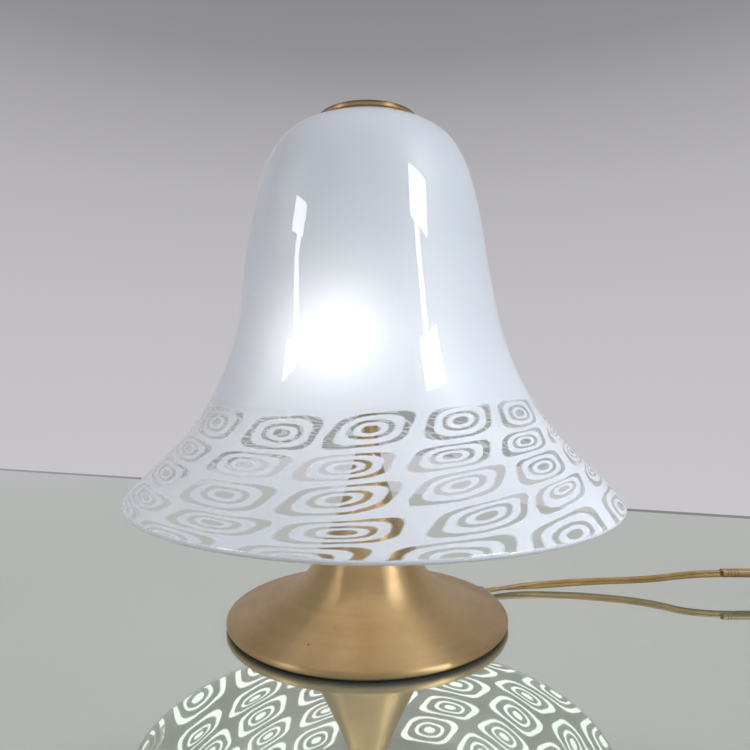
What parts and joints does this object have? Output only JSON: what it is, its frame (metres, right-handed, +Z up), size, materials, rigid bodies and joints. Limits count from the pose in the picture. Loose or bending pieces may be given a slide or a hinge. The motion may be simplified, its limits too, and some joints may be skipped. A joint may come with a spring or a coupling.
{
  "type": "mushroom table lamp",
  "caption": "Table lamp with a bell-shaped blown glass shade that stands over a trumpet-shaped brass foot, with a domed brass cap, a twin flex, an in-line rocker switch and a flat plug.",
  "frame": {"origin": "middle of the foot's underside, on the table", "axes": "+Z up along the rod, +X to the right in the picture, +Y to the back; the cord leaves back right"},
  "size_m": [0.6007, 0.324, 0.3461],
  "materials": {
    "satin_brass": "satin brushed, lacquered",
    "plain_brass": "plain turned",
    "zinc_steel": "zinc plated",
    "iron": "as cast, painted",
    "felt": "dark green-black felt",
    "ceramic": "glazed ceramic look",
    "seal_rubber": "matt",
    "clear_glass": "clear blown glass with white inlay",
    "opal_glass": "white opal glass",
    "bulb_glass": "frosted",
    "amber_flex": "amber translucent twin flex",
    "amber_moulding": "amber moulded",
    "gold_plastic": "gold-coloured plastic",
    "dark_plastic": "dark moulded",
    "nickel_pins": "nickel plated"
  },
  "bodies": {
    "root": {"base_shell": "satin_brass", "felt_pad": "felt", "base_plate": "zinc_steel", "ballast": "iron", "tie_rod": "zinc_steel", "bottom_nut": "zinc_steel", "bottom_washer": "zinc_steel", "column_ring": "satin_brass", "lamp_bracket": "plain_brass", "bracket_nut": "zinc_steel", "holder_screw": "zinc_steel", "holder_cup": "plain_brass", "holder_shell": "plain_brass", "holder_insert": "ceramic", "holder_thread": "plain_brass", "holder_contact": "plain_brass", "sleeve_nut": "zinc_steel", "upper_sleeve": "plain_brass", "shade_seat": "plain_brass", "seat_gasket": "seal_rubber", "cord_grommet": "seal_rubber", "cord_clamp": "dark_plastic", "clamp_screws": "zinc_steel", "cord_inner": "amber_flex", "cord_lead": "amber_flex", "switch_boot_in": "amber_moulding", "switch_lower": "gold_plastic", "switch_upper": "gold_plastic", "switch_contacts": "plain_brass", "switch_screws": "zinc_steel", "switch_boot_out": "amber_moulding", "cord_link": "amber_flex", "cord_coil": "amber_flex", "cord_tail": "amber_flex", "coil_tie": "dark_plastic", "plug_boot": "amber_moulding", "plug_body": "amber_moulding", "plug_pins": "nickel_pins", "plug_sleeves": "dark_plastic"},
    "bulb": {"bulb_glass": "bulb_glass", "bulb_cap": "zinc_steel", "bulb_contact": "plain_brass"},
    "shade": {"shade_glass": "clear_glass", "shade_opal": "opal_glass", "cap_gasket": "seal_rubber"},
    "cap": {"shade_cap": "satin_brass"},
    "rocker": {"switch_rocker": "dark_plastic"}
  },
  "joints": [
    {"name": "shade_lift", "type": "slide", "parent": "root", "child": "shade", "axis": [0, 0, 1], "range_m": [0, 0.27]},
    {"name": "cap_turn", "type": "hinge", "parent": "shade", "child": "cap", "pos_m": [0, 0, 0.3404], "axis": [0, 0, 1], "continuous": true},
    {"name": "bulb_turn", "type": "hinge", "parent": "root", "child": "bulb", "pos_m": [-0.00399, -0.02701, 0.17], "axis": [0, 0, 1], "continuous": true},
    {"name": "switch_rock", "type": "hinge", "parent": "root", "child": "rocker", "pos_m": [0.344, 0.0426, 0.0278], "axis": [0, 1, 0], "range_deg": [0, 16]}
  ]
}
